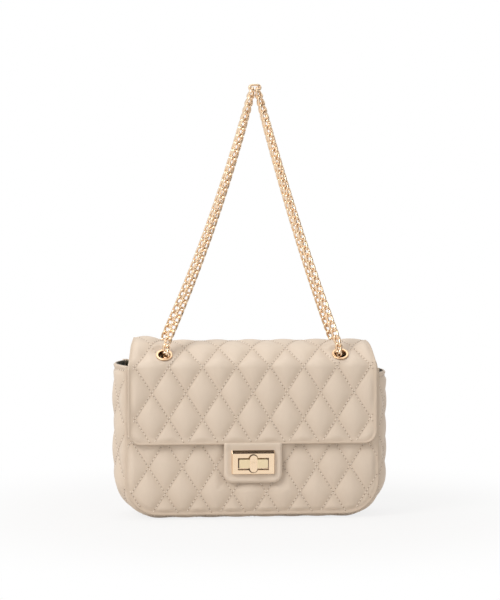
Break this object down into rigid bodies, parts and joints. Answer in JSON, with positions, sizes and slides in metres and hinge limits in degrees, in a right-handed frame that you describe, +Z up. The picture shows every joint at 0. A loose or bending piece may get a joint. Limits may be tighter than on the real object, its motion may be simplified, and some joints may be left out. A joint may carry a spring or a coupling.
{
  "type": "chain shoulder bag",
  "caption": "Quilted flap shoulder bag that opens at the top, with a turn lock on a tab and a double chain strap through grommets.",
  "frame": {"origin": "middle of the flat base, on the table", "axes": "+Z up, -Y the front with the flap and lock, +X to the right seen from the front"},
  "size_m": [0.27, 0.0865, 0.4243],
  "materials": {
    "beige_leather": "soft matt",
    "dark_lining": "matt",
    "gold_metal": "polished light gold",
    "gold_chain": "polished light gold",
    "stiff_board": "plain"
  },
  "bodies": {
    "bag": {"front_panel": "beige_leather", "back_panel": "beige_leather", "gusset_strip": "beige_leather", "base_board": "stiff_board", "front_lining": "dark_lining", "back_lining": "dark_lining", "gusset_lining": "dark_lining", "slip_pocket": "dark_lining", "lock_base_plate": "gold_metal", "lock_backing_washer": "gold_metal", "lock_post": "gold_metal"},
    "lock_toggle": {"turn_bar": "gold_metal", "turn_band": "gold_metal"},
    "flap_top": {"flap_top_leather": "beige_leather", "flap_top_lining": "dark_lining", "grommet_front_left": "gold_metal", "grommet_front_right": "gold_metal", "grommet_back_left": "gold_metal", "grommet_back_right": "gold_metal", "washer_front_left": "gold_metal", "washer_front_right": "gold_metal", "washer_back_left": "gold_metal", "washer_back_right": "gold_metal", "inner_chain_left": "gold_chain", "inner_chain_right": "gold_chain"},
    "flap_front": {"flap_front_leather": "beige_leather", "flap_front_lining": "dark_lining"},
    "tab": {"tab_leather": "beige_leather", "lock_frame": "gold_metal", "lock_frame_plate": "gold_metal", "lock_frame_prongs": "gold_metal"},
    "front_strand": {"front_chain": "gold_chain"},
    "back_strand": {"back_chain": "gold_chain"}
  },
  "joints": [
    {"name": "flap_hinge", "type": "hinge", "parent": "bag", "child": "flap_top", "pos_m": [0, 0.04, 0.1485], "axis": [-1, 0, 0], "range_deg": [0, 100]},
    {"name": "flap_fold", "type": "hinge", "parent": "flap_top", "child": "flap_front", "pos_m": [0, -0.04, 0.1485], "axis": [-1, 0, 0], "range_deg": [0, 80]},
    {"name": "tab_lift", "type": "hinge", "parent": "flap_front", "child": "tab", "pos_m": [0, -0.0392, 0.07385], "axis": [-1, 0, 0], "range_deg": [0, 60]},
    {"name": "lock_turn", "type": "hinge", "parent": "bag", "child": "lock_toggle", "pos_m": [0, -0.0439, 0.056], "axis": [0, 1, 0], "range_deg": [0, 90]},
    {"name": "front_strand_swing", "type": "hinge", "parent": "flap_top", "child": "front_strand", "pos_m": [0, -0.03294, 0.1641], "axis": [1, 0, 0], "range_deg": [0, 90]},
    {"name": "back_strand_swing", "type": "hinge", "parent": "flap_top", "child": "back_strand", "pos_m": [0, 0.03294, 0.1641], "axis": [-1, 0, 0], "range_deg": [0, 80]}
  ]
}
